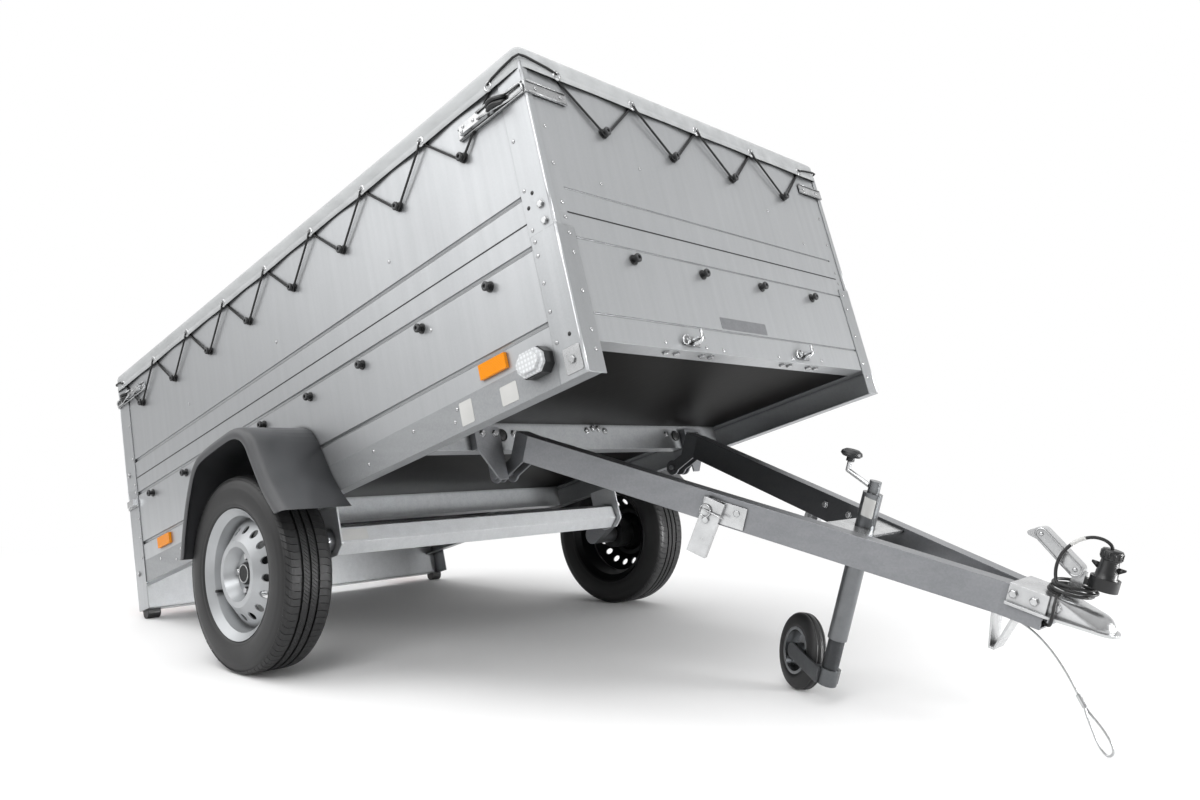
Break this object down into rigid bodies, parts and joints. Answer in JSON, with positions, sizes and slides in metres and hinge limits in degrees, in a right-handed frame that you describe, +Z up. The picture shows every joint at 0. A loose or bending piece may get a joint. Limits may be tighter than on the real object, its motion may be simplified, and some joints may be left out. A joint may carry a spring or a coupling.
{
  "type": "utility trailer",
  "caption": "Tipping utility trailer: galvanised boards in two tiers, fabric cover, tailgate, V drawbar with jockey wheel and ball coupling.",
  "frame": {"origin": "on the floor under the middle of the trailer's length and width", "axes": "+X forward to the coupling, +Y to the trailer's left, +Z up"},
  "size_m": [3.3537, 1.745, 1.5689],
  "materials": {
    "zinc_sheet": "spangled galvanised sheet",
    "zinc_frame": "hot-dip galvanised steel",
    "bright_zinc": "bright zinc plate",
    "dark_plywood": "film-faced plywood",
    "cover_fabric": "coated tarpaulin",
    "guard_plastic": "satin black plastic",
    "black_plastic": "black plastic",
    "black_rubber": "black rubber",
    "tyre_rubber": "tyre rubber",
    "wheel_paint": "silver paint",
    "hub_steel": "dark steel",
    "white_lens": "white lens",
    "amber_lens": "amber lens",
    "red_lens": "red lens"
  },
  "bodies": {
    "bed": {"floor": "dark_plywood", "frame_rails": "zinc_frame", "cross_members": "zinc_frame", "front_board": "zinc_sheet", "front_upper_board": "zinc_sheet", "side_board_right": "zinc_sheet", "side_board_left": "zinc_sheet", "upper_board_right": "zinc_sheet", "upper_board_left": "zinc_sheet", "rear_upper_board": "zinc_sheet", "corner_posts": "zinc_sheet", "upper_posts": "zinc_sheet", "lamp_panel": "zinc_frame", "tail_lamps": "red_lens", "tail_buffers": "black_rubber", "front_lamp_bases": "black_plastic", "front_lamps": "white_lens", "side_markers": "amber_lens", "cover_hooks": "black_plastic", "tie_hooks": "black_plastic", "corner_latches": "bright_zinc", "lock_catches": "bright_zinc", "cover_bows": "zinc_frame", "cover": "cover_fabric", "hinge_ears": "zinc_frame", "gate_hinges": "zinc_frame", "axle_beam": "zinc_frame", "axle_arm_right": "zinc_frame", "axle_arm_left": "zinc_frame", "mudguard_right": "guard_plastic", "mudguard_left": "guard_plastic"},
    "tailgate": {"tailgate": "zinc_sheet", "gate_hooks": "black_plastic"},
    "wheel_right": {"tyre_right": "tyre_rubber", "rim_right": "wheel_paint", "hub_right": "hub_steel"},
    "wheel_left": {"tyre_left": "tyre_rubber", "rim_left": "wheel_paint", "hub_left": "hub_steel"},
    "drawbar": {"drawbar_arm_right": "zinc_frame", "drawbar_arm_left": "zinc_frame", "jockey_bracket": "bright_zinc", "jockey_tube": "bright_zinc", "jockey_crank": "bright_zinc", "crank_grip": "black_plastic", "coupling_head": "bright_zinc", "coupling_handle": "bright_zinc", "plug_holder": "black_plastic", "rest_foot": "bright_zinc", "lock_levers": "bright_zinc", "lead_plug": "black_plastic", "lead_coil": "black_rubber", "lead_tube": "black_rubber", "safety_wire": "bright_zinc", "wire_ferrule": "bright_zinc"},
    "jockey_leg": {"jockey_leg": "zinc_frame"},
    "jockey_fork": {"jockey_fork": "zinc_frame"},
    "jockey_wheel": {"jockey_tyre": "black_rubber", "jockey_rim": "bright_zinc"}
  },
  "joints": [
    {"name": "bed_tip", "type": "hinge", "parent": "bed", "child": "drawbar", "pos_m": [0.24251, 0, 0.55607], "axis": [0, -1, 0], "range_deg": [0, 32.4]},
    {"name": "tailgate_swing", "type": "hinge", "parent": "bed", "child": "tailgate", "pos_m": [-1.45946, 0, 0.18686], "axis": [0, -1, 0], "range_deg": [0, 100]},
    {"name": "wheel_right_spin", "type": "hinge", "parent": "bed", "child": "wheel_right", "pos_m": [-0.36041, -0.771, 0.2736], "axis": [0, 1, 0], "continuous": true},
    {"name": "wheel_left_spin", "type": "hinge", "parent": "bed", "child": "wheel_left", "pos_m": [-0.36041, 0.771, 0.2736], "axis": [0, 1, 0], "continuous": true},
    {"name": "jockey_slide", "type": "slide", "parent": "drawbar", "child": "jockey_leg", "axis": [0.2672, 0, 0.9636], "range_m": [0, 0.07]},
    {"name": "jockey_swivel", "type": "hinge", "parent": "jockey_leg", "child": "jockey_fork", "pos_m": [1.00734, 0, 0.06591], "axis": [0.2672, 0, 0.9636], "continuous": true},
    {"name": "jockey_spin", "type": "hinge", "parent": "jockey_fork", "child": "jockey_wheel", "pos_m": [0.88967, 0.07631, 0.09855], "axis": [0.5106, 0.848, -0.1416], "continuous": true}
  ]
}
